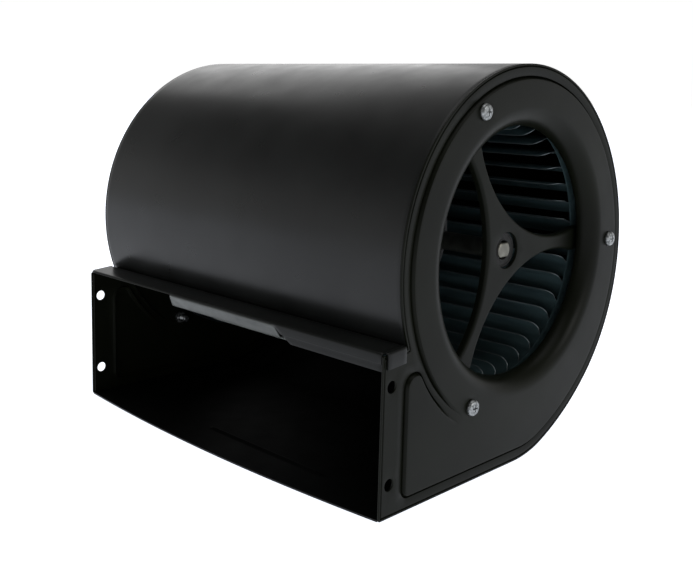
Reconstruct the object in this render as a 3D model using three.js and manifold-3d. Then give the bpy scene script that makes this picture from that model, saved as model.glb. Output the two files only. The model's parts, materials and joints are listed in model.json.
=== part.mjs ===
// A double-inlet centrifugal blower: a sheet-steel scroll housing with a rectangular outlet, and
// inside it a two-row impeller that an external-rotor motor turns on a fixed shaft.
//
// Millimetres. X runs along the shaft, the outlet faces -Y, and Z is up from the face it stands on.
// Every piece is built about the shaft axis and one group carries them all to the standing height.

import * as THREE from 'three';
import { mergeVertices } from 'three/addons/utils/BufferGeometryUtils.js';
import Module from 'manifold-3d';

const wasm = await Module();
wasm.setup();

// ---- driving dimensions ---------------------------------------------------------------------

const HOUSING_WIDTH = 291.4;        // across the perimeter bands of the two side plates
const SHAFT_HEIGHT = 134;           // shaft axis above the flat bottom
const SHEET = 1.2;                  // housing sheet
const GAP = 0.3;                    // clearance between pieces that rest on each other

const OUTLET_FRONT = 127.8;         // outlet edge of the side plates, forward of the shaft
const OUTLET_TOP = 94.1;            // front fold of the ledge over the outlet, above the floor
const LIP_FRONT = 135;              // middle of the bowed front edge of the floor

// The scroll outline is three arcs, each running on smoothly into the next. Angles are about the
// arc's own centre, in degrees from +Y towards +Z. The last one ends where it meets the floor.
const SCROLL_RADII = [115.3, 123.9, 157];
const SCROLL_JOINS = [47.5, -46];
const ARC_STEP = 7;                 // degrees between points along the outline

const BAND = 8.8;                   // flat band round the side plate, outside the raised panel
const PANEL_RISE = 1.5;             // how far the raised panel stands out of the band
const PANEL_FRONT = 108.3;          // front edge of the raised panel, forward of the shaft
const PANEL_FRONT_TOP = 77.5;       // its upper corner, above the floor
const CHANNEL_WIDTH = 6.8;          // the band's tail, between the panel and the inlet face
const CHANNEL_END = 237;            // where that tail runs out, just short of the lower screw

const INLET_RADIUS = 78;            // throat of the bell-mouth inlet
const BELL_RADIUS = 12;             // radius of its rolled edge
const DUCT_HOLE = { radius: 3.5, forward: 120.3, heights: [19.3, 74.4] };

const LEDGE_BACK = 109.6;           // back edge of the ledge, forward of the shaft
const LEDGE_RISE = 1.6;             // the ledge rises this much from its front fold to its back
const LEDGE_BACK_DROP = 8;          // depth of its back flange
const FLANGE_DROP = 10.4;           // depth of its front flange
const TAB_DROP = 9.5;               // depth of the tabs over the side plates
// The cut-off plate shows between these two; the front flange starts at the second.
const NOTCH = { from: -49.5, to: 57.5, slant: 19.5 };

// Middle line of the cut-off plate as [y from the shaft, height above the floor].
const CUTOFF_PATH = [[-125.9, 91.1], [-122.4, 83.7], [-103, 79.5], [-98.5, 81], [-96, 85]];
const CUTOFF_EAR = 8;               // how far the plate widens behind the notch
const WRAP_START_DROP = 9;          // the wrap starts this far below the ledge

const BRACKET_FACE = 132.4;         // outer face of the three-arm bracket, out from the middle
const BRACKET_SHEET = 2;
const ARM_ANGLES = [0, 120, 240];
const ARM_END = 93;                 // where an arm turns out towards its foot
const FOOT_END = 104;               // tip of the foot, behind the side plate's panel
const ARM_INNER_HALF = 3.6;         // half the inner width of an arm's channel
const FOOT_HALF = 7;                // half the width of a foot
const ARM_FLANGE = 2.5;             // depth of the stiffening flange along the arms
const WINDOW_RADIUS = 90;           // curve of an arm's edge, between one arm and the next
const WINDOW_NEAREST = 19.8;        // closest that an opening comes to the shaft
const HUB_HOLE = 11.5;

const SCREW_CIRCLE = 100;
const SCREW = { radius: 2.5, length: 14, head: 5, headHeight: 2.8, hole: 2.8 };
const NUT = { across: 8, height: 4 };
const BUSH = { inner: BRACKET_FACE - 8, outer: BRACKET_FACE - 2.6 };
const CLIP = { width: 1.2, radius: 9 };

const SHAFT_RADIUS = 6;
const SHAFT_END = BRACKET_FACE - 1.8;
const SHAFT_FLAT = 4.6;             // half the height across the flats at the shaft's ends
const SHAFT_FLAT_LENGTH = 14;

const WHEEL_RADIUS = 94;
const WHEEL_END = 126.4;            // end face of the impeller, out from the middle
const BLADE_COUNT = 38;
const BLADE_INNER = 76.5;
const BLADE_SHEET = 0.8;
const BLADE_OUTER = 92.7;
const BLADE_SWEEP = -9;             // degrees that a blade leans forward on its way out
const BLADE_BAND = 1;               // thickness of the bands that carry the blade ends
const RING_INNER = 84.8;            // inner edge of the band at the inlet end
const RIM_DEPTH = 7;

const DISC_HALF = 1;
const DISC_SCREW = { circle: 56, radius: 2, hole: 2.3, head: 3.6, headHeight: 2.2, length: 9 };
const DISC_SCREW_ANGLES = [45, 135, 225, 315];

const ROTOR_RADIUS = 50;
const ROTOR_HALF = 46;
const ROTOR_WALL = 3;
const ROTOR_OPENING = 8;            // radius of the holes the shaft passes through
const ROTOR_FLANGE = { from: -4.3, to: -1.3, radius: 62 };
const CORE_HALF = 22;               // half the length of the stator and rotor cores
const STATOR_RADIUS = 37.4;
const AIR_GAP = 0.6;
const SLOTS = 12;
const BEARING = { bore: SHAFT_RADIUS, outer: 16, width: 10, ball: 2.2, pitch: 11, balls: 7 };

const HALF = HOUSING_WIDTH / 2;
const FLOOR = -SHAFT_HEIGHT;
const LEDGE = FLOOR + OUTLET_TOP;
const PANEL_FACE = HALF + PANEL_RISE;
const WRAP_HALF = HALF - SHEET - GAP;
const BEARING_SEAT = BEARING.outer + GAP;

// ---- small helpers --------------------------------------------------------------------------

const rad = THREE.MathUtils.degToRad;
const onCircle = (radius, degrees, cx = 0, cy = 0) =>
  new THREE.Vector2(cx + radius * Math.cos(rad(degrees)), cy + radius * Math.sin(rad(degrees)));

// A shape drawn in (y, z) becomes a plate that runs along X from x0 to x1.
const YZ_TO_WORLD = new THREE.Matrix4().makeBasis(
  new THREE.Vector3(0, 1, 0), new THREE.Vector3(0, 0, 1), new THREE.Vector3(1, 0, 0));

function plateAlongX(shape, x0, x1, curveSegments = 9) {
  const depth = x1 - x0;
  const plate = new THREE.ExtrudeGeometry(shape, { depth, bevelEnabled: false, curveSegments });
  return plate.translate(0, 0, x0).applyMatrix4(YZ_TO_WORLD);
}

// A profile of [x, radius] points turns about the shaft axis. It either starts and ends on the
// axis or closes on itself, and its outside runs towards +X.
function turned(profile, segments = 32) {
  const points = profile.map(([x, radius]) => new THREE.Vector2(radius, x));
  return new THREE.LatheGeometry(points, segments).rotateZ(-Math.PI / 2);
}

function tube(x0, x1, inner, outer, segments = 32) {
  return turned([[x0, inner], [x0, outer], [x1, outer], [x1, inner], [x0, inner]], segments);
}

function rod(x0, x1, radius, segments = 16) {
  return turned([[x0, 0], [x0, radius], [x1, radius], [x1, 0]], segments);
}

function block(x0, x1, y0, y1, z0, z1) {
  const box = new THREE.BoxGeometry(x1 - x0, y1 - y0, z1 - z0);
  return box.translate((x0 + x1) / 2, (y0 + y1) / 2, (z0 + z1) / 2);
}

function toSolid(geometry) {
  const bare = geometry.clone();
  bare.deleteAttribute('normal');
  bare.deleteAttribute('uv');
  const merged = mergeVertices(bare, 1e-4);
  const vertProperties = new Float32Array(merged.attributes.position.array);
  const triVerts = new Uint32Array(merged.index.array);
  return new wasm.Manifold(new wasm.Mesh({ numProp: 3, vertProperties, triVerts }));
}

function toGeometry(solid) {
  const { vertProperties, triVerts } = solid.getMesh();
  const geometry = new THREE.BufferGeometry();
  geometry.setAttribute('position', new THREE.BufferAttribute(new Float32Array(vertProperties), 3));
  geometry.setIndex(new THREE.BufferAttribute(new Uint32Array(triVerts), 1));
  geometry.computeVertexNormals();
  return geometry;
}

function joined(first, ...others) {
  return toGeometry(others.reduce((solid, other) => solid.add(toSolid(other)), toSolid(first)));
}

function cut(body, ...tools) {
  return toGeometry(tools.reduce((solid, tool) => solid.subtract(toSolid(tool)), toSolid(body)));
}

function common(first, second) {
  return toGeometry(toSolid(first).intersect(toSolid(second)));
}

function turnedRound(geometry, degrees) {
  return geometry.clone().rotateX(rad(degrees));
}

// The other side of the housing holds the mirror image of a piece about the middle plane.
function mirrored(geometry) {
  const flipped = geometry.index ? geometry.toNonIndexed() : geometry.clone();
  flipped.scale(-1, 1, 1);
  const position = flipped.attributes.position;
  for (let corner = 0; corner < position.count; corner += 3) {
    const second = new THREE.Vector3().fromBufferAttribute(position, corner + 1);
    const third = new THREE.Vector3().fromBufferAttribute(position, corner + 2);
    position.setXYZ(corner + 1, third.x, third.y, third.z);
    position.setXYZ(corner + 2, second.x, second.y, second.z);
  }
  flipped.deleteAttribute('normal');
  flipped.deleteAttribute('uv');
  const merged = mergeVertices(flipped, 1e-4);
  merged.computeVertexNormals();
  return merged;
}

// ---- scroll outline -------------------------------------------------------------------------

// The arcs' centres follow from each arc running on smoothly from the one before.
const SCROLL_CENTRES = [new THREE.Vector2(0, 0)];
SCROLL_JOINS.forEach((angle, i) => {
  const step = onCircle(SCROLL_RADII[i] - SCROLL_RADII[i + 1], angle);
  SCROLL_CENTRES.push(SCROLL_CENTRES[i].clone().add(step));
});

// Arcs of the outline moved in by inset, from a start angle on the first arc down to the floor.
function scrollArcs(inset, startAngle) {
  const last = SCROLL_CENTRES[2];
  const radii = SCROLL_RADII.map((radius) => radius - inset);
  const drop = (FLOOR + inset - last.y) / radii[2];
  const angles = [startAngle, ...SCROLL_JOINS, THREE.MathUtils.radToDeg(Math.asin(drop))];
  return SCROLL_CENTRES.map((centre, i) =>
    ({ centre, radius: radii[i], from: rad(angles[i]), to: rad(angles[i + 1]) }));
}

// Points along the arcs, in order or from the last arc back to the first.
function arcPoints(arcs, backwards = false) {
  const points = [];
  const ordered = backwards ? [...arcs].reverse() : arcs;
  for (const { centre, radius, from, to } of ordered) {
    const [start, end] = backwards ? [to, from] : [from, to];
    const steps = Math.ceil(Math.abs(end - start) / rad(ARC_STEP));
    for (let i = 0; i <= steps; i += 1) {
      const angle = start + (end - start) * i / steps;
      const x = centre.x + radius * Math.cos(angle);
      const y = centre.y + radius * Math.sin(angle);
      points.push(new THREE.Vector2(x, y));
    }
  }
  return points;
}

// Angle on the first arc, moved in by inset, at a height below the shaft on the outlet side.
function angleAtHeight(z, inset = 0) {
  return 180 - THREE.MathUtils.radToDeg(Math.asin(z / (SCROLL_RADII[0] - inset)));
}

const REARMOST = SCROLL_CENTRES[1].x + SCROLL_RADII[1];
const SHAFT_Y = (LIP_FRONT - REARMOST) / 2;

// ---- housing --------------------------------------------------------------------------------

// One sheet: from behind the ledge over the top, down the back and forward as the outlet's floor.
function scrollWrap() {
  const lowEnd = LEDGE - WRAP_START_DROP;
  const outer = scrollArcs(0, angleAtHeight(lowEnd));
  const inner = scrollArcs(SHEET, angleAtHeight(lowEnd, SHEET));
  const section = new THREE.Shape([
    ...arcPoints(outer),
    new THREE.Vector2(-OUTLET_FRONT, FLOOR),
    new THREE.Vector2(-OUTLET_FRONT, FLOOR + SHEET),
    ...arcPoints(inner, true),
  ]);

  const lipOverlap = 4;
  const lip = new THREE.Shape();
  lip.moveTo(WRAP_HALF, lipOverlap - OUTLET_FRONT);
  lip.lineTo(-WRAP_HALF, lipOverlap - OUTLET_FRONT);
  lip.lineTo(-WRAP_HALF, -OUTLET_FRONT);
  const bow = 2 * LIP_FRONT - OUTLET_FRONT;
  lip.quadraticCurveTo(0, -bow, WRAP_HALF, -OUTLET_FRONT);
  const flat = { depth: SHEET, bevelEnabled: false, curveSegments: 10 };
  const lipPlate = new THREE.ExtrudeGeometry(lip, flat).translate(0, 0, FLOOR);
  return joined(plateAlongX(section, -WRAP_HALF, WRAP_HALF), lipPlate);
}

function sideOutline() {
  const top = LEDGE - SHEET - GAP;
  return new THREE.Shape([
    ...arcPoints(scrollArcs(0, angleAtHeight(top))),
    new THREE.Vector2(-OUTLET_FRONT, FLOOR),
    new THREE.Vector2(-OUTLET_FRONT, top),
  ]);
}

// The raised panel fills the plate inside the band. At its lower front the band runs on as a
// channel round the inlet face and dies out by the lower screw.
function panelOutline(grow) {
  const inset = BAND - grow;
  const corner = 4;
  const channelOuter = SCROLL_RADII[0] - BAND + CHANNEL_WIDTH - grow;
  const top = FLOOR + PANEL_FRONT_TOP + grow;
  const topAngle = 180 - THREE.MathUtils.radToDeg(Math.asin(top / channelOuter));
  const shape = new THREE.Shape(arcPoints(scrollArcs(inset, CHANNEL_END - grow)));
  shape.lineTo(-PANEL_FRONT - grow, FLOOR + inset);
  shape.lineTo(-PANEL_FRONT - grow, top - corner);
  shape.lineTo(-PANEL_FRONT - grow + corner, top);
  shape.absarc(0, 0, channelOuter, rad(topAngle), rad(CHANNEL_END - grow), false);
  shape.closePath();
  return shape;
}

// The bell mouth rolls in from the panel face to the throat.
function bellMouth() {
  const centre = { x: PANEL_FACE - BELL_RADIUS, radius: INLET_RADIUS + BELL_RADIUS };
  const steps = 3;
  const roll = (radius) => Array.from({ length: steps + 1 }, (_, i) => {
    const angle = (i / steps) * Math.PI / 2;
    return [centre.x + radius * Math.cos(angle), centre.radius - radius * Math.sin(angle)];
  });
  const joinRadius = centre.radius + 3;
  const outside = roll(BELL_RADIUS);
  const inside = roll(BELL_RADIUS - SHEET).reverse();
  const start = [PANEL_FACE - SHEET, joinRadius];
  return turned([start, [PANEL_FACE, joinRadius], ...outside, ...inside, start], 36);
}

function sidePlate() {
  const [deep, proud] = [HALF - 4, PANEL_FACE + 1];
  const band = plateAlongX(sideOutline(), HALF - SHEET, HALF);
  const bandHole = plateAlongX(panelOutline(-SHEET), HALF - 2 * SHEET, HALF + SHEET);
  const panel = plateAlongX(panelOutline(0), HALF - SHEET, PANEL_FACE);
  const panelBack = plateAlongX(panelOutline(-SHEET), HALF - 2 * SHEET, PANEL_FACE - SHEET);
  const inletHole = rod(deep, proud, INLET_RADIUS + BELL_RADIUS + 1, 36);
  const screwHoles = ARM_ANGLES.map((angle) =>
    turnedRound(rod(deep, proud, SCREW.hole, 8).translate(0, SCREW_CIRCLE, 0), angle));
  const ductHoles = DUCT_HOLE.heights.map((height) =>
    rod(deep, proud, DUCT_HOLE.radius, 12).translate(0, -DUCT_HOLE.forward, FLOOR + height));
  const pressed = joined(cut(band, bandHole), cut(panel, panelBack));
  return joined(cut(pressed, inletHole, ...screwHoles, ...ductHoles), bellMouth());
}

// Ledge over the outlet. Its front flange hangs down at the right only, with a slanted end, and
// a tab at each end folds down over the side plate.
function outletLedge() {
  const reach = HALF + GAP + SHEET;
  const under = LEDGE - SHEET;
  const [front, back] = [-OUTLET_FRONT, -LEDGE_BACK];
  const backTop = LEDGE + LEDGE_RISE;
  const slope = new THREE.Shape([
    new THREE.Vector2(front, LEDGE), new THREE.Vector2(front, under),
    new THREE.Vector2(back, backTop - SHEET), new THREE.Vector2(back, backTop),
  ]);
  const top = plateAlongX(slope, -reach, reach);
  const seam = LEDGE - SHEET / 2;
  const flangeFace = new THREE.Shape([
    new THREE.Vector2(NOTCH.to, seam), new THREE.Vector2(NOTCH.to, under),
    new THREE.Vector2(NOTCH.to + NOTCH.slant, LEDGE - FLANGE_DROP),
    new THREE.Vector2(WRAP_HALF, LEDGE - FLANGE_DROP), new THREE.Vector2(WRAP_HALF, seam),
  ]);
  const frontFlange = new THREE.ExtrudeGeometry(flangeFace, { depth: SHEET, bevelEnabled: false });
  frontFlange.applyMatrix4(new THREE.Matrix4().makeBasis(
    new THREE.Vector3(1, 0, 0), new THREE.Vector3(0, 0, 1), new THREE.Vector3(0, -1, 0)));
  frontFlange.translate(0, front + SHEET, 0);
  const backLow = backTop - LEDGE_BACK_DROP;
  const backFlange = block(-WRAP_HALF, WRAP_HALF, back - SHEET, back, backLow, backTop - SHEET / 2);
  const tabs = [-1, 1].map((side) => {
    const [near, far] = [side * reach, side * (reach - SHEET)].sort((a, b) => a - b);
    return block(near, far, front + 2.5, back - 1, LEDGE - TAB_DROP, LEDGE - SHEET / 4);
  });
  return joined(top, frontFlange, backFlange, ...tabs);
}

// Cut-off plate in the middle of the outlet: it hangs steeply from the ledge, runs in under it
// and curls up towards the impeller.
function cutoffPlate() {
  const outer = CUTOFF_PATH.map(([y, z]) => new THREE.Vector2(y, FLOOR + z));
  const inner = [...outer].reverse().map((p) => new THREE.Vector2(p.x + 0.3, p.y + SHEET));
  const [left, right] = [NOTCH.from, NOTCH.to];
  const bend = CUTOFF_PATH[1][0];
  const end = CUTOFF_PATH.at(-1)[0] + 6;
  const section = new THREE.Shape([...outer, ...inner]);
  const strip = plateAlongX(section, left - 2 * CUTOFF_EAR, right + 2 * CUTOFF_EAR);
  const plan = new THREE.Shape();
  plan.moveTo(left + 1, -OUTLET_FRONT);
  plan.lineTo(right - 1, -OUTLET_FRONT);
  plan.lineTo(right + CUTOFF_EAR, bend);
  plan.lineTo(right + CUTOFF_EAR, end);
  plan.lineTo(left - CUTOFF_EAR, end);
  plan.lineTo(left - CUTOFF_EAR, bend);
  const prism = new THREE.ExtrudeGeometry(plan, { depth: 40, bevelEnabled: false });
  return common(strip, prism.translate(0, 0, LEDGE - 30));
}

// ---- bracket, screws and shaft --------------------------------------------------------------

// Between two arms the bracket's edge is one large arc that bulges towards the hub.
function bracketOutline() {
  const distance = WINDOW_NEAREST + WINDOW_RADIUS;
  const cosine = (INLET_RADIUS ** 2 + distance ** 2 - WINDOW_RADIUS ** 2)
    / (2 * INLET_RADIUS * distance);
  const spread = THREE.MathUtils.radToDeg(Math.acos(cosine));
  const shape = new THREE.Shape();
  ARM_ANGLES.forEach((angle) => {
    const along = onCircle(1, angle);
    const across = onCircle(1, angle + 90);
    const halfWidth = INLET_RADIUS * Math.sin(rad(60 - spread));
    const corner = (side) => new THREE.Vector2(
      ARM_END * along.x + side * halfWidth * across.x, ARM_END * along.y + side * halfWidth * across.y);
    const middle = angle + 60;
    const centre = onCircle(distance, middle);
    const from = onCircle(INLET_RADIUS, middle - spread);
    const to = onCircle(INLET_RADIUS, middle + spread);
    const start = corner(-1);
    const end = corner(1);
    if (angle === ARM_ANGLES[0]) shape.moveTo(start.x, start.y);
    else shape.lineTo(start.x, start.y);
    shape.lineTo(end.x, end.y);
    shape.lineTo(from.x, from.y);
    shape.absarc(centre.x, centre.y, WINDOW_RADIUS,
      Math.atan2(from.y - centre.y, from.x - centre.x),
      Math.atan2(to.y - centre.y, to.x - centre.x), true);
  });
  shape.closePath();
  const hole = new THREE.Path();
  hole.absarc(0, 0, HUB_HOLE, 0, 2 * Math.PI, true);
  shape.holes.push(hole);
  return shape;
}

function bracket() {
  const back = BRACKET_FACE - BRACKET_SHEET;
  const deep = back - ARM_FLANGE - 1;
  const web = plateAlongX(bracketOutline(), back, BRACKET_FACE, 10);
  const stiffener = cut(
    plateAlongX(bracketOutline(), back - ARM_FLANGE, BRACKET_FACE - 0.5, 10),
    rod(deep, back, HUB_HOLE + BRACKET_SHEET, 24));
  const hollow = ARM_ANGLES.map((angle) => turnedRound(
    block(deep, back, 16, ARM_END + 1, -ARM_INNER_HALF, ARM_INNER_HALF), angle));
  const outside = tube(deep, back, BLADE_INNER - 3, ARM_END + 12, 30);
  const footFace = PANEL_FACE - SHEET - GAP;
  const footStart = ARM_END - BRACKET_SHEET;
  const feet = ARM_ANGLES.flatMap((angle) => [
    block(back, footFace, footStart, ARM_END, -FOOT_HALF, FOOT_HALF),
    block(footFace - BRACKET_SHEET, footFace, footStart, FOOT_END, -FOOT_HALF, FOOT_HALF),
  ].map((piece) => turnedRound(piece, angle)));
  const holes = ARM_ANGLES.map((angle) => turnedRound(
    rod(footFace - 4, footFace + 1, SCREW.hole, 8).translate(0, SCREW_CIRCLE, 0), angle));
  const flanged = joined(web, cut(stiffener, ...hollow, outside));
  return cut(joined(flanged, ...feet), ...holes);
}

function screw(angle) {
  const seat = PANEL_FACE + GAP;
  const profile = [
    [seat - SCREW.length, 0], [seat - SCREW.length, SCREW.radius], [seat, SCREW.radius],
    [seat, SCREW.head], [seat + 0.6 * SCREW.headHeight, SCREW.head],
    [seat + SCREW.headHeight, 0.55 * SCREW.head], [seat + SCREW.headHeight, 0],
  ];
  return turnedRound(turned(profile, 10).translate(0, SCREW_CIRCLE, 0), angle);
}

function nut(angle) {
  const top = PANEL_FACE - SHEET - BRACKET_SHEET - 2 * GAP;
  const corner = NUT.across / Math.sqrt(3);
  const hex = new THREE.Shape(Array.from({ length: 6 }, (_, i) => onCircle(corner, 60 * i)));
  const hole = new THREE.Path();
  hole.absarc(0, 0, SCREW.hole, 0, 2 * Math.PI, true);
  hex.holes.push(hole);
  const body = plateAlongX(hex, top - NUT.height, top, 5);
  return turnedRound(body.translate(0, SCREW_CIRCLE, 0), angle);
}

function shaftBush() {
  return tube(BUSH.inner, BUSH.outer, SHAFT_RADIUS + GAP, HUB_HOLE - GAP, 16);
}

function shaftClip() {
  const outer = BUSH.inner - GAP;
  return tube(outer - CLIP.width, outer, SHAFT_RADIUS + GAP, CLIP.radius, 16);
}

function motorShaft() {
  const body = rod(-SHAFT_END, SHAFT_END, SHAFT_RADIUS, 24);
  const flats = [-1, 1].flatMap((side) => [-1, 1].map((level) => {
    const reach = [side * (SHAFT_END + 1), side * (SHAFT_END - SHAFT_FLAT_LENGTH)];
    const [x0, x1] = reach.sort((a, b) => a - b);
    const [z0, z1] = [level * SHAFT_FLAT, level * (SHAFT_RADIUS + 1)].sort((a, b) => a - b);
    return block(x0, x1, -10, 10, z0, z1);
  }));
  return cut(body, ...flats);
}

// ---- motor ----------------------------------------------------------------------------------

function statorCore() {
  const pitch = 360 / SLOTS;
  const tipInner = STATOR_RADIUS - 3;
  const shoulder = STATOR_RADIUS - 4;
  const slotBottom = 20;
  const points = [];
  for (let slot = 0; slot < SLOTS; slot += 1) {
    const start = slot * pitch;
    const next = start + pitch;
    points.push(onCircle(STATOR_RADIUS, start + 1.5));
    points.push(onCircle(STATOR_RADIUS, start + pitch / 2));
    points.push(onCircle(STATOR_RADIUS, next - 1.5));
    points.push(onCircle(tipInner, next - 1.5));
    points.push(onCircle(shoulder, next - 8));
    points.push(onCircle(slotBottom, next - 10));
    points.push(onCircle(slotBottom, next + 10));
    points.push(onCircle(shoulder, next + 8));
    points.push(onCircle(tipInner, next + 1.5));
  }
  const shape = new THREE.Shape(points);
  const bore = new THREE.Path();
  bore.absarc(0, 0, SHAFT_RADIUS + GAP, 0, 2 * Math.PI, true);
  shape.holes.push(bore);
  return plateAlongX(shape, -CORE_HALF, CORE_HALF, 8);
}

function statorWinding() {
  const start = CORE_HALF + GAP;
  return turned([[start, 21], [start, 33], [start + 5, 34], [start + 8, 31], [start + 8, 24],
    [start + 5, 20], [start, 21]], 20);
}

// The rotor is a cup with its bearing seat at the closed end and a flange for the impeller disc.
function rotorShell() {
  const inside = ROTOR_RADIUS - ROTOR_WALL;
  const bottom = -ROTOR_HALF;
  const seatEnd = bottom + ROTOR_WALL + BEARING.width;
  const { from, to, radius } = ROTOR_FLANGE;
  const cup = turned([
    [bottom, ROTOR_OPENING], [bottom, ROTOR_RADIUS - 4], [bottom + 4, ROTOR_RADIUS],
    [from, ROTOR_RADIUS], [from, radius], [to, radius], [to, ROTOR_RADIUS],
    [ROTOR_HALF, ROTOR_RADIUS], [ROTOR_HALF, inside], [bottom + ROTOR_WALL, inside],
    [bottom + ROTOR_WALL, BEARING_SEAT + 3], [seatEnd, BEARING_SEAT + 3],
    [seatEnd, BEARING_SEAT], [bottom + ROTOR_WALL, BEARING_SEAT],
    [bottom + ROTOR_WALL, ROTOR_OPENING], [bottom, ROTOR_OPENING],
  ], 24);
  return cut(cup, ...DISC_SCREW_ANGLES.map((angle) => discScrewHole(angle, -6, 0)));
}

function rotorEndCap() {
  const outside = ROTOR_RADIUS - ROTOR_WALL - GAP;
  const inner = ROTOR_HALF - ROTOR_WALL;
  const seatEnd = inner - BEARING.width;
  return turned([
    [seatEnd, BEARING_SEAT], [seatEnd, BEARING_SEAT + 3], [inner, BEARING_SEAT + 3],
    [inner, outside], [ROTOR_HALF, outside], [ROTOR_HALF, ROTOR_OPENING],
    [inner, ROTOR_OPENING], [inner, BEARING_SEAT], [seatEnd, BEARING_SEAT],
  ], 24);
}

function rotorCore() {
  const outside = ROTOR_RADIUS - ROTOR_WALL - GAP;
  return tube(-CORE_HALF, CORE_HALF, STATOR_RADIUS + AIR_GAP, outside, 24);
}

// Bearing pieces for the end cap's side, a little clear of the wall behind them.
const BEARING_X = [ROTOR_HALF - ROTOR_WALL - GAP - BEARING.width, ROTOR_HALF - ROTOR_WALL - GAP];

function bearingInnerRing() {
  return tube(...BEARING_X, BEARING.bore + 0.2, BEARING.pitch - BEARING.ball - 0.2, 20);
}

function bearingOuterRing() {
  return tube(...BEARING_X, BEARING.pitch + BEARING.ball + 0.2, BEARING.outer, 20);
}

function ballCage() {
  const middle = (BEARING_X[0] + BEARING_X[1]) / 2;
  const cage = tube(middle - 1.2, middle + 1.2, BEARING.pitch - 0.7, BEARING.pitch + 0.7, 14);
  const balls = Array.from({ length: BEARING.balls }, (_, i) => {
    const ball = new THREE.SphereGeometry(BEARING.ball, 6, 4).translate(middle, BEARING.pitch, 0);
    return turnedRound(ball, i * 360 / BEARING.balls);
  });
  return joined(cage, ...balls);
}

// ---- impeller -------------------------------------------------------------------------------

function discScrewHole(angle, x0, x1) {
  return turnedRound(rod(x0, x1, DISC_SCREW.hole, 10).translate(0, DISC_SCREW.circle, 0), angle);
}

function impellerDisc() {
  const outside = WHEEL_RADIUS - 2 * GAP;
  const disc = tube(-DISC_HALF, DISC_HALF, ROTOR_RADIUS + GAP, outside, BLADE_COUNT);
  return cut(disc, ...DISC_SCREW_ANGLES.map((angle) => discScrewHole(angle, -3, 3)));
}

function discScrew(angle) {
  const seat = DISC_HALF + GAP;
  const profile = [
    [seat - DISC_SCREW.length, 0], [seat - DISC_SCREW.length, DISC_SCREW.radius],
    [seat, DISC_SCREW.radius], [seat, DISC_SCREW.head],
    [seat + DISC_SCREW.headHeight, 0.8 * DISC_SCREW.head], [seat + DISC_SCREW.headHeight, 0],
  ];
  return turnedRound(turned(profile, 8).translate(0, DISC_SCREW.circle, 0), angle);
}

// A blade's section is a curved strip that leans forward as it goes out.
function bladeSection() {
  const steps = 2;
  const edge = (offset) => Array.from({ length: steps + 1 }, (_, i) => {
    const share = i / steps;
    const radius = BLADE_INNER + share * (BLADE_OUTER - BLADE_INNER);
    return onCircle(radius, BLADE_SWEEP * share ** 1.8 + offset);
  });
  const thickness = THREE.MathUtils.radToDeg(2 * BLADE_SHEET / (BLADE_INNER + BLADE_OUTER));
  return new THREE.Shape([...edge(0), ...edge(thickness).reverse()]);
}

// One row of blades is pressed from a strip, so a band at each end holds the blades together.
function bladeRow() {
  const start = DISC_HALF + GAP;
  const outside = WHEEL_RADIUS - 2 * GAP;
  const middle = BLADE_BAND / 2;
  const blade = plateAlongX(bladeSection(), start + middle, WHEEL_END - middle);
  const pitch = 360 / BLADE_COUNT;
  const blades = Array.from({ length: BLADE_COUNT }, (_, i) => turnedRound(blade, i * pitch));
  const discBand = tube(start, start + BLADE_BAND, BLADE_INNER - 1, outside, BLADE_COUNT);
  const endBand = tube(WHEEL_END - BLADE_BAND, WHEEL_END, RING_INNER, outside, BLADE_COUNT);
  return joined(discBand, endBand, ...blades);
}

// Rim rolled round the outer edge of the end band.
function rimRing() {
  return tube(WHEEL_END - RIM_DEPTH, WHEEL_END, WHEEL_RADIUS - GAP, WHEEL_RADIUS + 1, BLADE_COUNT);
}

// ---- assembly -------------------------------------------------------------------------------

const FINISHES = {
  paint: { color: 0x1b1c1b, roughness: 0.42, metalness: 0.1 },
  bracket: { color: 0x20211f, roughness: 0.5, metalness: 0.1 },
  zinc: { color: 0xb9bdbd, roughness: 0.35, metalness: 0.9 },
  steel: { color: 0xa8a59c, roughness: 0.35, metalness: 0.95 },
  rubber: { color: 0x141414, roughness: 0.85, metalness: 0 },
  blade: { color: 0x2a3335, roughness: 0.4, metalness: 0.5 },
  lamination: { color: 0x5d5f63, roughness: 0.55, metalness: 0.8 },
  copper: { color: 0x8a4a22, roughness: 0.45, metalness: 0.6 },
  rotor: { color: 0x303234, roughness: 0.5, metalness: 0.6 },
};

const blower = new THREE.Group();
const aboutShaft = new THREE.Group();
aboutShaft.position.set(0, SHAFT_Y, SHAFT_HEIGHT);
blower.add(aboutShaft);

function place(name, geometry, finish) {
  const mesh = new THREE.Mesh(geometry, new THREE.MeshStandardMaterial(FINISHES[finish]));
  mesh.name = name;
  aboutShaft.add(mesh);
}

function placePair(name, geometry, finish) {
  place(`${name}_right`, geometry, finish);
  place(`${name}_left`, mirrored(geometry), finish);
}

place('scroll_wrap', scrollWrap(), 'paint');
placePair('side_plate', sidePlate(), 'paint');
place('outlet_ledge', outletLedge(), 'paint');
place('cutoff_plate', cutoffPlate(), 'paint');

placePair('motor_bracket', bracket(), 'bracket');
ARM_ANGLES.forEach((angle, i) => {
  placePair(`bracket_screw_${i + 1}`, screw(angle), 'zinc');
  placePair(`bracket_nut_${i + 1}`, nut(angle), 'zinc');
});
placePair('shaft_bush', shaftBush(), 'rubber');
placePair('shaft_clip', shaftClip(), 'steel');
place('motor_shaft', motorShaft(), 'steel');

place('stator_core', statorCore(), 'lamination');
placePair('stator_winding', statorWinding(), 'copper');
place('rotor_shell', rotorShell(), 'rotor');
place('rotor_end_cap', rotorEndCap(), 'rotor');
place('rotor_core', rotorCore(), 'lamination');
placePair('bearing_inner_ring', bearingInnerRing(), 'steel');
placePair('bearing_outer_ring', bearingOuterRing(), 'steel');
placePair('bearing_ball_cage', ballCage(), 'steel');

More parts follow.
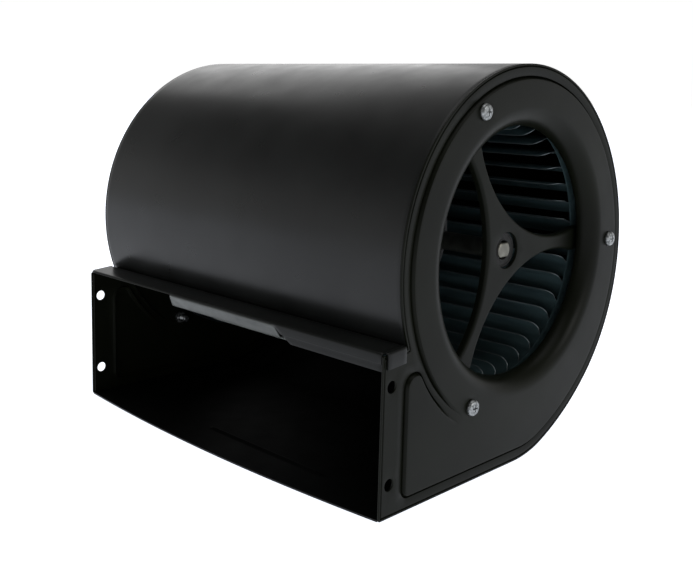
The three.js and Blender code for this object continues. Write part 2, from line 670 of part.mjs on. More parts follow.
place('impeller_disc', impellerDisc(), 'blade');
placePair('impeller_blades', bladeRow(), 'blade');
placePair('impeller_rim', rimRing(), 'blade');
DISC_SCREW_ANGLES.forEach((angle, i) => place(`disc_screw_${i + 1}`, discScrew(angle), 'zinc'));

export default blower;
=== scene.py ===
"""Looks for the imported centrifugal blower: fine sheet-metal meshes, finishes, light and camera.

Shapes are worked out in millimetres about the shaft axis: x along the shaft, y away from the
outlet and z up. Shell.build moves them into the frame, in metres.
"""

import json
import math

import bmesh
import bpy
import numpy as np
from mathutils import Matrix, Vector
from mathutils.geometry import delaunay_2d_cdt


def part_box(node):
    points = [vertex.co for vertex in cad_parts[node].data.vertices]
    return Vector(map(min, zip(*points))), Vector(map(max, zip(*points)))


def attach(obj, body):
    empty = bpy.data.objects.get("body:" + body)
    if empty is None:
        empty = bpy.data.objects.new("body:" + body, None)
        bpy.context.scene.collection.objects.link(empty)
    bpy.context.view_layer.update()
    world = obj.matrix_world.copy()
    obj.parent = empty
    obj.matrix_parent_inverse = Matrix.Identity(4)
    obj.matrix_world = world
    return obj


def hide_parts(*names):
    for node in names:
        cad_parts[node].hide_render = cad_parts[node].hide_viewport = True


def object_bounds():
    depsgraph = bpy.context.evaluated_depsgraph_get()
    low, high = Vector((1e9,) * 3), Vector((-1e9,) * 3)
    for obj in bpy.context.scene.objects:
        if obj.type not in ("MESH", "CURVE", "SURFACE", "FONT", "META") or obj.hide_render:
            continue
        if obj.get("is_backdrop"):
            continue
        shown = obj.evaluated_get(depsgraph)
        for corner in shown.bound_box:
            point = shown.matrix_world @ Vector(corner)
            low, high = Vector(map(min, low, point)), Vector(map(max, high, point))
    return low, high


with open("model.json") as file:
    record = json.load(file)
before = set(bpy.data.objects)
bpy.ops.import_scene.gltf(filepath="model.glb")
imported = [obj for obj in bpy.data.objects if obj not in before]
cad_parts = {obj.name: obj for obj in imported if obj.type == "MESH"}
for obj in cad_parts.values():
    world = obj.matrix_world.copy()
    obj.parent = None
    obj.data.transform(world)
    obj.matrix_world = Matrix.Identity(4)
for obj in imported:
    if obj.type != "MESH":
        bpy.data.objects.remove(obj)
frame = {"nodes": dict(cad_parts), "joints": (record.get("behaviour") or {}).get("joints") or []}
cad_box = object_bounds()

# ---- driving dimensions -----------------------------------------------------------------------

MM = 0.001
SHAFT = Vector(frame["joints"][0]["pos_m"])


def edge_of(node, end, axis):
    """Low (0) or high (1) side of a CAD node along one axis, in millimetres about the shaft."""
    return (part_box(node)[end][axis] - SHAFT[axis]) / MM


FLOOR = -SHAFT.z / MM
WRAP_HALF = edge_of("scroll_wrap", 1, 0)
LIP_FRONT = -edge_of("scroll_wrap", 0, 1)
OUTLET_FRONT = -edge_of("side_plate_right", 0, 1)
PANEL_FACE = edge_of("side_plate_right", 1, 0)
LEDGE_REACH = edge_of("outlet_ledge", 1, 0)
LEDGE_TOP = edge_of("outlet_ledge", 1, 2)
LEDGE_BOTTOM = edge_of("outlet_ledge", 0, 2)
LEDGE_BACK = -edge_of("outlet_ledge", 1, 1)
WHEEL_END = edge_of("impeller_rim_right", 1, 0)
RIM_RADIUS = edge_of("impeller_rim_right", 1, 1)
DISC_HALF = edge_of("impeller_disc", 1, 0)
ROTOR_HALF = edge_of("rotor_shell", 1, 0)
SHAFT_END = edge_of("motor_shaft", 1, 0)
SHAFT_RADIUS = edge_of("motor_shaft", 1, 1)
BUSH_INNER = edge_of("shaft_bush_right", 0, 0)
BUSH_OUTER = edge_of("shaft_bush_right", 1, 0)
CLIP_INNER = edge_of("shaft_clip_right", 0, 0)
NUT_INNER = edge_of("bracket_nut_1_right", 0, 0)
NUT_OUTER = edge_of("bracket_nut_1_right", 1, 0)
SCREW_TOP = edge_of("bracket_screw_1_right", 1, 0)
SCREW_TIP = edge_of("bracket_screw_1_right", 0, 0)

SHEET = 1.2                         # housing sheet
PANEL_RISE = 1.5                    # the raised panel stands this far out of the band
BAND_FACE = PANEL_FACE - PANEL_RISE
SCROLL_RADII = (115.3, 123.9, 157)  # three arcs, each running on smoothly into the next
SCROLL_JOINS = (47.5, -46)          # degrees where they join

BAND = 8.8                          # width of the band round the side plate
PANEL_FRONT = 108.3
PANEL_TOP = 77.5
CHANNEL_WIDTH = 6.8
CHANNEL_END = 237                   # degrees, where the channel ends in the panel
CHANNEL_FADE = 216                  # degrees, from where the channel gets shallower
CHANNEL_SECTOR = (120, 260)         # the radius and the angle that the channel stays within
STEP = 1.2                          # width of the slope between band and panel
GROOVE = 1.0                        # a groove runs along the foot of the slope, this far out
GROOVE_HALF = 0.75
GROOVE_DEPTH = 1.7
SEAM = 1.6                          # the seam in the rim lies this far in from its edge
SEAM_HALF = 0.55
SEAM_DEPTH = 0.8
GAP = 0.3                           # left between two sheets that lie on each other

INLET_RADIUS = 78
BELL_RADIUS = 12
DUCT_HOLE = 3.5
DUCT_HOLES = [(-120.3, FLOOR + 19.3), (-120.3, FLOOR + 74.4)]

BRACKET_FACE = 132.4
BRACKET_SHEET = 2
ARM_ANGLES = (0, 120, 240)
ARM_END = 93
FOOT_END = 104
ARM_FLANGE = 2.5
WINDOW_RADIUS = 90
WINDOW_NEAREST = 19.8
HUB_HOLE = 11.5
SCREW_CIRCLE = 100
SCREW_HEAD = 5
SCREW_SHANK = 2.5
NUT_ACROSS = 8
SHAFT_FLAT = 4.6
FLAT_LENGTH = 14

LEDGE_RISE = 1.6                    # the ledge rises this much from its front fold to its back
LEDGE_FRONT = LEDGE_TOP - LEDGE_RISE
NOTCH = (-49.5, 57.5)               # the ends of the cut-off plate's top edge
NOTCH_SLANT = 19.5                  # the front flange's inner end leans this much
BEAD_PLACE = -108                   # a bead across the outlet's floor
BEAD_ENDS = (-24, 80)
BEAD_HALF = 2.4
BEAD_HEIGHT = 1.3
BLADE_COUNT = 38
BLADE_INNER = 76.5
BLADE_OUTER = 92.7
BLADE_SHEET = 0.8
RING_INNER = 84.8
ROTOR_RADIUS = 50
ROTOR_FLANGE = 62
DISC_SCREW_CIRCLE = 56


# ---- flat geometry ----------------------------------------------------------------------------

def on_circle(radius, degrees, centre=(0, 0)):
    angle = math.radians(degrees)
    return centre[0] + radius * math.cos(angle), centre[1] + radius * math.sin(angle)


def arc(radius, start, end, centre=(0, 0), step=3.0):
    count = max(1, math.ceil(abs(end - start) / step))
    return [on_circle(radius, start + (end - start) * i / count, centre) for i in range(count + 1)]


def around(count):
    """Angles at equal steps all the way round, in degrees."""
    return [360 * i / count for i in range(count)]


def ring(radius, count, centre=(0, 0)):
    """A closed circle of count points."""
    return np.array([on_circle(radius, angle, centre) for angle in around(count)])


def axes(degrees):
    """Unit directions along and across a line at an angle."""
    return np.array(on_circle(1, degrees)), np.array(on_circle(1, degrees + 90))


def fillet(before, corner, after, radius, step=12.0):
    """The round that replaces a corner between two straight stretches."""
    corner = np.array(corner, float)
    into = np.array(before, float) - corner
    away = np.array(after, float) - corner
    into /= np.linalg.norm(into)
    away /= np.linalg.norm(away)
    half = math.acos(np.clip(into @ away, -1, 1)) / 2
    middle = into + away
    centre = corner + middle / np.linalg.norm(middle) * radius / math.sin(half)
    reach = radius / math.tan(half)
    first = corner + into * reach - centre
    last = corner + away * reach - centre
    start = math.degrees(math.atan2(first[1], first[0]))
    turn = (math.degrees(math.atan2(last[1], last[0])) - start + 180) % 360 - 180
    return arc(radius, start, start + turn, centre, step)


def subdivided(line, step, closed=True):
    """The same outline with no stretch longer than step."""
    line = [np.array(p, float) for p in line]
    ends = line[1:] + line[:1] if closed else line[1:]
    points = []
    for start, end in zip(line, ends):
        length = np.linalg.norm(end - start)
        if length < 1e-6:
            continue
        count = max(1, math.ceil(length / step))
        points.extend(start + (end - start) * i / count for i in range(count))
    if not closed:
        points.append(line[-1])
    return np.array(points)


def counterclockwise(loop):
    x, y = loop[:, 0], loop[:, 1]
    area = x @ np.roll(y, -1) - y @ np.roll(x, -1)
    return loop if area > 0 else loop[::-1]


def grown(loop, distance):
    """A counterclockwise loop moved outwards by distance."""
    before = loop - np.roll(loop, 1, axis=0)
    after = np.roll(loop, -1, axis=0) - loop
    sides = []
    for along in (before, after):
        outward = np.stack([along[:, 1], -along[:, 0]], 1)
        sides.append(outward / np.linalg.norm(along, axis=1)[:, None])
    middle = sides[0] + sides[1]
    middle /= np.linalg.norm(middle, axis=1)[:, None]
    lean = np.clip((middle * sides[0]).sum(1), 0.5, 1)
    return loop + distance * middle / lean[:, None]


def inside(points, loop):
    """Which points lie inside a closed loop."""
    x, y = points[:, 0, None], points[:, 1, None]
    x0, y0 = loop[:, 0], loop[:, 1]
    x1, y1 = np.roll(x0, -1), np.roll(y0, -1)
    spans = (y0 > y) != (y1 > y)
    rise = np.where(y1 == y0, 1, y1 - y0)
    crossing = x0 + (y - y0) / rise * (x1 - x0)
    return (spans & (x < crossing)).sum(1) % 2 == 1


def distance(points, loop):
    """Distance from each point to a closed loop."""
    start, along = loop, np.roll(loop, -1, axis=0) - loop
    length = (along ** 2).sum(1)
    best = np.full(len(points), np.inf)
    for i in range(0, len(points), 2000):
        offset = points[i:i + 2000, None, :] - start[None]
        share = np.clip((offset * along).sum(2) / length, 0, 1)
        gap = np.linalg.norm(offset - share[..., None] * along, axis=2)
        best[i:i + 2000] = gap.min(1)
    return best


def smooth(value):
    value = np.clip(value, 0, 1)
    return value * value * (3 - 2 * value)


def triangulated(outline, holes, rows, spacing):
    """Triangles inside outline and outside holes, with edges along every row and fill between them."""
    loops = [outline, *holes, *rows]
    low, high = outline.min(0), outline.max(0)
    lines = [np.arange(a, b, spacing) for a, b in zip(low, high)]
    grid = np.stack(np.meshgrid(*lines), -1).reshape(-1, 2)
    grid[::2] += 0.03 * spacing     # so that no four points lie on one circle
    clear = inside(grid, outline)
    for loop in loops:
        clear &= distance(grid, loop) > 0.6 * spacing
    points, edges = [], []
    for loop in loops:
        first = len(points)
        points.extend(loop)
        edges.extend((first + i, first + (i + 1) % len(loop)) for i in range(len(loop)))
    points.extend(grid[clear])
    found = delaunay_2d_cdt([Vector(p) for p in points], edges, [], 0, 1e-5)
    corners = np.array([tuple(v) for v in found[0]])
    faces = np.array(found[2])
    middles = corners[faces].mean(1)
    keep = inside(middles, outline)
    for hole in holes:
        keep &= ~inside(middles, hole)
    return corners, faces[keep]


# ---- solid geometry ---------------------------------------------------------------------------

BEVELLED = 50                       # an edge that turns by more degrees than this is bevelled
MERGED = 0.002                      # points closer than this become one


class Shell:
    """Points and faces of one piece, in millimetres about the shaft."""

    def __init__(self):
        self.points = []
        self.faces = []
        self.finishes = []

    def add(self, points, faces, finishes=()):
        """Adds faces. They have the first finish, unless finishes gives a number for each."""
        first = len(self.points)
        self.points.extend(tuple(p) for p in points)
        self.faces.extend(tuple(int(i) + first for i in face) for face in faces)
        self.finishes.extend(finishes or [0] * len(faces))

    def rows(self, rows):
        """Quads between neighbouring rows of points, each row closed on itself."""
        width = len(rows[0])
        faces = []
        for low in range(0, (len(rows) - 1) * width, width):
            for j in range(width):
                k = (j + 1) % width
                faces.append((low + j, low + k, low + width + k, low + width + j))
        self.add([p for row in rows for p in row], faces)

    def turned(self, profile, segments, closed=True):
        """An open or closed profile of (x, radius) points turned about an axis along x."""
        rounds = [[(x, *p) for p in ring(radius, segments)] for x, radius in profile]
        if closed:
            rounds.append(rounds[0])
        self.rows(rounds)

    def thick(self, front, back, keep=None, behind=0):
        """A sheet between two grids of points, without the cells that keep leaves out.

        behind is the finish of the second grid.
        """
        count, width = len(front), len(front[0])
        if keep is None:
            keep = np.ones((count - 1, width - 1), bool)
        points = [p for grid in (front, back) for row in grid for p in row]
        under = count * width
        held = np.pad(keep, 1)
        faces, backs = [], []
        for i in range(count - 1):
            for j in range(width - 1):
                if not keep[i, j]:
                    continue
                corner = i * width + j
                cell = [corner, corner + 1, corner + width + 1, corner + width]
                faces.append(cell)
                backs.append([c + under for c in reversed(cell)])
                beside = [held[i, j + 1], held[i + 1, j + 2], held[i + 2, j + 1], held[i + 1, j]]
                for a, b, joined in zip(cell, cell[1:] + cell[:1], beside):
                    if not joined:
                        faces.append((b, a, a + under, b + under))
        self.add(points, faces + backs, [0] * len(faces) + [behind] * len(backs))

    def plate(self, surface, outline, holes, rows, bare, edge=0.4, spacing=6.0):
        """A sheet with rounded edges at its outline and holes, and none at its bare holes.

        surface(points, depth) gives the places of flat points at a depth under the sheet's face.
        """
        rim = [(1.0, 0.0), (0.3, 0.12), (0.08, 0.4), (0.0, 1.0)]
        steps = [(away * edge, depth * edge) for away, depth in rim]
        steps += [(away, SHEET - depth) for away, depth in reversed(steps)]
        inner = grown(outline, -edge)
        opened = [grown(hole, edge) for hole in holes]
        corners, faces = triangulated(inner, [*opened, *bare], rows, spacing)
        self.add(surface(corners, 0.0), faces)
        self.add(surface(corners, SHEET), faces[:, ::-1])
        for loop, side in [(outline, -1), *((hole, 1) for hole in holes)]:
            self.rows([surface(grown(loop, side * away), depth) for away, depth in steps])

    def moved(self, offset):
        self.points = [(x, y + offset[0], z + offset[1]) for x, y, z in self.points]

    def build(self, name, node, body, slot, *finishes, sharp=40, bevel=0.0):
        """Makes the Blender object, rides it on its body and lets it stand for its CAD node."""
        points = np.array(self.points, float)
        if node.endswith("_left"):
            points[:, 0] *= -1      # every shape is made for the right side
        mesh = bpy.data.meshes.new(name)
        mesh.from_pydata((points * MM + np.array(SHAFT)).tolist(), [], self.faces)
        mesh.polygons.foreach_set("material_index", self.finishes)
        for material in finishes:
            mesh.materials.append(material)
        work = bmesh.new()
        work.from_mesh(mesh)
        bmesh.ops.remove_doubles(work, verts=work.verts, dist=MERGED * MM)
        bmesh.ops.recalc_face_normals(work, faces=work.faces)
        if bevel:
            rims = [e for e in work.edges if e.calc_face_angle(0) > math.radians(BEVELLED)]
            bmesh.ops.bevel(work, geom=rims, offset=bevel * MM, segments=2, profile=0.5, affect="EDGES",
                            clamp_overlap=True)
        for face in work.faces:
            face.smooth = True
        work.to_mesh(mesh)
        work.free()
        mesh.set_sharp_from_angle(angle=math.radians(sharp))
        piece = bpy.data.objects.new(name, mesh)
        bpy.context.scene.collection.objects.link(piece)
        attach(piece, body)
        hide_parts(node)


def folded(corners, radius, step=15.0):
    """A path of straight stretches with a round bend at each inner corner."""
    path = [corners[0]]
    for before, corner, after in zip(corners, corners[1:], corners[2:]):
        path.extend(fillet(before, corner, after, radius, step))
    path.append(corners[-1])
    return np.array(path, float)


def left_of(path):
    """Unit directions to the left of an open path, at each of its points."""
    along = np.gradient(path, axis=0)
    along /= np.linalg.norm(along, axis=1)[:, None]
    return np.stack([-along[:, 1], along[:, 0]], 1)


# ---- scroll outline ---------------------------------------------------------------------------

def scroll_centres():
    """Each arc's centre follows from its running on smoothly from the arc before."""
    centres = [np.zeros(2)]
    for i, angle in enumerate(SCROLL_JOINS):
        centres.append(centres[i] + on_circle(SCROLL_RADII[i] - SCROLL_RADII[i + 1], angle))
    return centres


def scroll_path(start, inset, step=2.0):
    """The scroll from a start angle on the outlet side over the top and down to the floor's front."""
    centres = scroll_centres()
    last = centres[2]
    radii = [radius - inset for radius in SCROLL_RADII]
    meeting = math.degrees(math.asin((FLOOR - last[1]) / SCROLL_RADII[2]))
    ease = 5.0                      # the crease at the floor is rounded from this many degrees before it
    angles = [start, *SCROLL_JOINS, meeting + ease]
    points = []
    for i, centre in enumerate(centres):
        points.extend(arc(radii[i], angles[i], angles[i + 1], centre, step)[1 if i else 0:])
    crease = np.array(on_circle(SCROLL_RADII[2], meeting, last)) + (0, inset)
    first = np.array(points[-1])
    end = crease - (np.linalg.norm(crease - first), 0)
    bend = crease + (0.5 * inset * math.sin(math.radians(90 + meeting)), 0)
    for t in np.arange(1, 9) / 8:
        points.append((1 - t) ** 2 * first + 2 * t * (1 - t) * bend + t * t * end)
    return np.array(points, float)


def angle_at(z, radius=SCROLL_RADII[0]):
    """Angle on the first arc, on the outlet side, at a height."""
    return 180 - math.degrees(math.asin(z / radius))


# ---- housing ----------------------------------------------------------------------------------

def side_outline():
    top = LEDGE_FRONT - SHEET - GAP
    path = scroll_path(angle_at(top), 0.0)
    low, high = (-OUTLET_FRONT, FLOOR), (-OUTLET_FRONT, top)
    corner = fillet(path[-1], low, high, radius=1.5, step=20)
    upper = fillet(low, high, path[0], radius=1.0, step=20)
    return counterclockwise(subdivided([*path, *corner, *upper], 4.0))


def panel_outline():
    """Edge of the raised panel. Its front lobe stands between the outlet and the channel."""
    inner = SCROLL_RADII[0] - BAND
    outer = inner + CHANNEL_WIDTH
    top = FLOOR + PANEL_TOP
    path = scroll_path(CHANNEL_END, BAND)
    low = (-PANEL_FRONT, FLOOR + BAND)
    high = (-PANEL_FRONT, top)
    top_angle = angle_at(top, outer)
    meeting = on_circle(outer, top_angle)
    down = on_circle(outer, top_angle + 6)
    front = fillet(path[-1], low, high, radius=4.0)
    upper = fillet(low, high, meeting, radius=7.0)
    shoulder = fillet(high, meeting, down, radius=5.0)
    edge = arc(outer, top_angle + 5, CHANNEL_END, step=1.5)
    tip = on_circle((inner + outer) / 2, CHANNEL_END)
    end = arc(CHANNEL_WIDTH / 2, CHANNEL_END, CHANNEL_END + 180, tip, step=20)[1:-1]
    return counterclockwise(subdivided([*path, *front, *upper, *shoulder, *edge, *end], 2.5))


def plate_surface(rim, panel):
    """Gives the side plate's points at a depth under its face: panel, groove, band and rim seam."""
    def surface(points, depth):
        signed = distance(points, panel) * np.where(inside(points, panel), 1, -1)
        raised = smooth(signed / STEP + 0.5)
        radius = np.linalg.norm(points, axis=1)
        turn = np.degrees(np.arctan2(points[:, 1], points[:, 0])) % 360
        beside_channel = (radius < CHANNEL_SECTOR[0]) & (turn < CHANNEL_SECTOR[1])
        fade = smooth((turn - CHANNEL_FADE) / (CHANNEL_END + 1 - CHANNEL_FADE)) * beside_channel
        raised = raised + (1 - raised) * fade
        seam = SEAM_DEPTH * (1 - smooth(abs(distance(points, rim) - SEAM) / SEAM_HALF))
        groove = GROOVE_DEPTH * (1 - smooth(abs(signed + GROOVE) / GROOVE_HALF)) * (1 - fade)
        x = BAND_FACE + PANEL_RISE * raised - seam - groove - depth
        return np.column_stack([x, points])
    return surface


def side_plate(side, finish):
    shell = Shell()
    outline = side_outline()
    panel = panel_outline()
    surface = plate_surface(outline, panel)
    rows = [grown(panel, -inward) for inward in (*np.arange(-1.9, 1.0, 0.3), 2.2)]
    rows += [grown(outline, -SEAM - share * SEAM_HALF) for share in (-1, -0.5, 0, 0.5, 1)]
    roll_start = INLET_RADIUS + BELL_RADIUS
    inlet = ring(roll_start, 180)
    ducts = [ring(DUCT_HOLE, 32, centre) for centre in DUCT_HOLES]
    screws = [ring(SCREW_SHANK + 0.4, 24, on_circle(SCREW_CIRCLE, angle)) for angle in ARM_ANGLES]
    shell.plate(surface, outline, [*ducts, *screws], rows, [inlet])
    centre = PANEL_FACE - BELL_RADIUS
    outside = [(centre + y, roll_start - x) for x, y in arc(BELL_RADIUS, 90, 0, step=6)]
    inside_roll = [(centre + y, roll_start - x) for x, y in arc(BELL_RADIUS - SHEET, 0, 90, step=6)]
    nose = [(centre - 0.35, INLET_RADIUS + 0.25), (centre - 0.35, INLET_RADIUS + SHEET - 0.25)]
    shell.turned([*outside, *nose, *inside_roll], 180, closed=False)
    shell.build(f"side_plate_{side}_shell", f"side_plate_{side}", "housing", "housing_paint", finish)


def scroll_wrap(finish, inner_shaded_finish):
    """One sheet over the top, down the back and forward as the outlet's floor, with its bowed lip."""
    start = angle_at(LEDGE_FRONT - 9)
    outer = scroll_path(start, 0.0)
    inner = scroll_path(start, SHEET)
    ends = outer[-1][0]
    ahead = [*np.arange(ends - 5, -96, -5), *np.arange(-98, -118, -0.8)]    # closer across the bead
    ahead += [*np.arange(-118.5, -124, -2), -125, -126, -127, -127.8, -OUTLET_FRONT]
    outer = np.vstack([outer, [(y, FLOOR) for y in ahead]])
    inner = np.vstack([inner, [(y, FLOOR + SHEET) for y in ahead]])
    half = WRAP_HALF + 0.2
    columns = np.linspace(-half, half, 101)
    bow = (LIP_FRONT - OUTLET_FRONT) * (1 - (columns / half) ** 2)
    lip_start = -122
    share = np.clip((lip_start - outer[:, 0]) / (OUTLET_FRONT + lip_start), 0, 1)
    share = np.where(outer[:, 1] < FLOOR + 1, share, 0)

    def grid(path):
        rows = []
        for x, push in zip(columns, bow):
            y = path[:, 0] - push * share
            past_end = np.clip(np.maximum(BEAD_ENDS[0] - x, x - BEAD_ENDS[1]) / BEAD_HALF, 0, None)
            ridge = np.hypot((y - BEAD_PLACE) / BEAD_HALF, past_end)
            z = path[:, 1] + BEAD_HEIGHT * np.where(path[:, 1] < FLOOR + 3, 1 - smooth(ridge), 0)
            rows.append(np.column_stack([np.full(len(y), x), y, z]))
        return rows

    shell = Shell()
    # The inner grid takes the second finish, the darker paint that stands for the shade inside.
    shell.thick(grid(outer), grid(inner), behind=1)
    shell.build("scroll_wrap_sheet", "scroll_wrap", "housing", "housing_paint", finish, inner_shaded_finish,
                bevel=0.25)


def outlet_ledge(finish):
    """Ledge over the outlet: a front flange at the right, a back flange and a tab at each end."""
    joggle = LEDGE_FRONT - 5.7      # below it the flange stands back a little
    set_back = 0.55
    path = folded([(-LEDGE_BACK, LEDGE_TOP - 8), (-LEDGE_BACK, LEDGE_TOP), (-OUTLET_FRONT, LEDGE_FRONT),
                   (-OUTLET_FRONT, joggle)], radius=1.8)
    lower = [(0.1, -0.35), (0.45, -0.55), (set_back, -0.9), (set_back, -2.4),
             (set_back, LEDGE_BOTTOM - joggle)]
    path = np.vstack([path, [(-OUTLET_FRONT + dy, joggle + dz) for dy, dz in lower]])
    back = path + SHEET * left_of(path)
    back[-6:, 0] = -OUTLET_FRONT + set_back + SHEET
    knee = LEDGE_FRONT - 2.2        # the slanted end starts here, below the fold
    at_front = path[:, 0] < -OUTLET_FRONT + 2
    drop = np.clip((knee - path[:, 1]) / (LEDGE_FRONT - LEDGE_BOTTOM), 0, 1) * at_front
    flange_end = NOTCH[1]
    before = flange_end - 0.01
    columns = [*np.linspace(-WRAP_HALF, flange_end, 48), *np.linspace(flange_end, WRAP_HALF, 24)[1:]]
    columns = np.array(columns)
    slant = np.interp(columns, [before, flange_end, WRAP_HALF], [0, 1, 0]) * NOTCH_SLANT
    front_grid = [np.column_stack([x + s * drop, path]) for x, s in zip(columns, slant)]
    back_grid = [np.column_stack([x + s * drop, back]) for x, s in zip(columns, slant)]
    keep = np.ones((len(columns) - 1, len(path) - 1), bool)
    keep[np.ix_(columns[:-1] < before, (path[:-1, 1] <= knee + 1.2) & at_front[:-1])] = False
    shell = Shell()
    shell.thick(front_grid, back_grid, keep)
    bend = folded([(WRAP_HALF - 0.1, 0), (LEDGE_REACH, 0), (LEDGE_REACH, -9.5)], radius=1.7)
    under = bend - SHEET * left_of(bend)
    depths = np.linspace(-OUTLET_FRONT + 2.5, -LEDGE_BACK - 1, 6)
    tops = LEDGE_FRONT + LEDGE_RISE * (depths + OUTLET_FRONT) / (OUTLET_FRONT - LEDGE_BACK)
    for side in (-1, 1):
        grids = [[[(side * x, y, z + top) for x, z in line] for y, top in zip(depths, tops)]
                 for line in (bend, under)]
        shell.thick(*grids)
    shell.build("outlet_ledge_channel", "outlet_ledge", "housing", "housing_paint", finish, bevel=0.22)


def cutoff_plate(finish):
    """It hangs steeply from the ledge, runs in under it and curls up towards the impeller."""
    top = LEDGE_FRONT - SHEET - 0.4
    corners = [(-125.3, top), (-126.3, top - 1.2), (-122.6, FLOOR + 83.8), (-103, FLOOR + 79.6),
               (-98, FLOOR + 81), (-96, FLOOR + 85)]
    path = subdivided(folded(corners, radius=1.6, step=12), 1.0, closed=False)
    under = path + SHEET * left_of(path)
    widening = 7 * np.clip((path[:, 0] + 127) / 15, 0, 1)
    low = NOTCH[0] + 1 - widening
    high = NOTCH[1] - 1 + widening
    grids = [[np.column_stack([low + (high - low) * share, line]) for share in np.linspace(0, 1, 41)]
             for line in (path, under)]
    shell = Shell()
    shell.thick(*grids)
    shell.build("cutoff_tongue", "cutoff_plate", "housing", "housing_paint", finish, bevel=0.25)


# ---- bracket, screws and shaft ----------------------------------------------------------------

def bracket_outline():
    """Three arms. Between two arms the edge is one large arc that bulges towards the hub."""
    far = WINDOW_NEAREST + WINDOW_RADIUS
    cosine = (INLET_RADIUS ** 2 + far ** 2 - WINDOW_RADIUS ** 2) / (2 * INLET_RADIUS * far)
    spread = math.degrees(math.acos(cosine))
    half = INLET_RADIUS * math.sin(math.radians(60 - spread))
    points = []
    for angle in ARM_ANGLES:
        along, across = axes(angle)
        points += [ARM_END * along - half * across, ARM_END * along + half * across]
        centre = on_circle(far, angle + 60)
        ends = [on_circle(INLET_RADIUS, angle + 60 + way * spread) for way in (-1, 1)]
        start, end = [math.degrees(math.atan2(y - centre[1], x - centre[0])) for x, y in ends]
        turn = (end - start + 180) % 360 - 180
        points += arc(WINDOW_RADIUS, start, start + turn, centre, 1.5)
    return counterclockwise(subdivided(points, 2.5))


def bracket_web(shell, outline):
    """The flat web with the hub's hole, and the rolled flange along the arms."""
    roll = 2.2
    hub = ring(HUB_HOLE, 72)
    rows = [grown(outline, -roll - 1)]
    corners, faces = triangulated(grown(outline, -roll), [grown(hub, 0.5)], rows, 5.0)

    def under_face(points, depth):
        return np.column_stack([np.full(len(points), BRACKET_FACE - depth), points])

    shell.add(under_face(corners, 0), faces)
    shell.add(under_face(corners, BRACKET_SHEET), faces[:, ::-1])
    hole = [(0.5, 0), (0.2, 0.07), (0, 0.35), (0, BRACKET_SHEET - 0.1), (0.5, BRACKET_SHEET)]
    shell.rows([under_face(grown(hub, away), depth) for away, depth in hole])
    quarter = np.linspace(0, math.pi / 2, 7)
    section = [(roll - math.sin(a) * roll, (1 - math.cos(a)) * roll, 0.0) for a in quarter]
    section += [(0.0, roll, 0.6), (0.0, roll, 1.0), (0.3, roll + 0.25, 1.0), (1.2, roll + 0.25, 1.0),
                (1.5, roll, 1.0), (1.5, roll, 0.4), (1.7, BRACKET_SHEET + 0.1, 0.0),
                (roll, BRACKET_SHEET, 0.0)]
    flange = BRACKET_SHEET + ARM_FLANGE - roll
    lip = 1 - smooth((np.linalg.norm(outline, axis=1) - 82) / 8)    # the flange runs out near the feet
    shell.rows([np.column_stack([BRACKET_FACE - depth - share * flange * lip, grown(outline, -away)])
                for away, depth, share in section])


def motor_bracket(side, finish):
    shell = Shell()
    bracket_web(shell, bracket_outline())
    face = BRACKET_FACE - 0.1
    foot_face = PANEL_FACE - SHEET - GAP
    bend = ARM_END - 2
    foot_start, foot_sheet, half_width = 84, 1.9, 7
    path = folded([(foot_start, face), (bend, face), (bend, foot_face), (FOOT_END, foot_face)],
                  radius=2.4, step=18)
    path = subdivided(path, 2.0, closed=False)
    under = path - foot_sheet * left_of(path)
    widths = np.linspace(-half_width, half_width, 9)
    keep = np.ones((len(widths) - 1, len(path) - 1), bool)
    at_screw = (path[:-1, 0] > SCREW_CIRCLE - 3.2) & (path[:-1, 0] < SCREW_CIRCLE + 2.4)
    keep[np.ix_(np.abs(widths[:-1] + 0.9) < 2.5, at_screw)] = False
    for angle in ARM_ANGLES:
        along, across = axes(angle)
        grids = [[[(x, *(r * along + width * across)) for r, x in line] for width in widths]
                 for line in (path, under)]
        shell.thick(*grids, keep)
    shell.build(f"motor_bracket_{side}_spider", f"motor_bracket_{side}", "housing", "bracket_paint", finish)


def cross_recess(size, width):
    """A cross with rounded ends, such as a screwdriver fits."""
    half = width / 2
    points = []
    for quarter in range(4):
        end = arc(half, -90, 90, (size - half, 0), 30)
        inner = (half, half)
        turn = Matrix.Rotation(math.radians(90 * quarter), 2)
        points += [tuple(turn @ Vector(p)) for p in [*end, inner]]
    return np.array(points)


def pan_head(shell, seat, radius, height, recess, depth):
    """Pan head with a cross recess, standing along x from seat. Points are about the screw's own axis."""
    crown_radius = 0.72 * radius
    crown_fall = 0.1225 * height

    def crown(points, down):
        share = np.linalg.norm(points, axis=1) / crown_radius
        return np.column_stack([seat + height - crown_fall * share ** 2 - down, points])

    opening = cross_recess(recess, 0.32 * recess)
    corners, faces = triangulated(ring(crown_radius, 48), [opening], [ring(0.55 * radius, 36)], 0.8)
    shell.add(crown(corners, 0.0), faces)
    floor = 0.72 * opening
    shell.rows([crown(opening, 0.0), crown(0.95 * opening, 0.15), crown(floor, depth)])
    shell.add(crown(floor, depth), [tuple(range(len(floor)))])
    side = [(0.72, 0.88), (0.5, 0.965), (0.28, 1), (0.08, 1), (0, 0.96)]    # shares of height and radius
    shell.turned([(seat + height - crown_fall, crown_radius),
                  *((seat + up * height, out * radius) for up, out in side)], 48, closed=False)


def threaded_shank(shell, seat, tip, radius, pitch, head):
    """Rings of thread from under the head down to a short cone."""
    profile = [(seat, head), (seat, radius)]
    x = seat - 2
    while x > tip + 1.5:
        profile += [(x, radius), (x - pitch / 2, radius - 0.35), (x - pitch, radius)]
        x -= pitch
    profile += [(tip + 0.6, radius), (tip, radius - 0.5), (tip, 0)]
    shell.turned(profile, 32, closed=False)


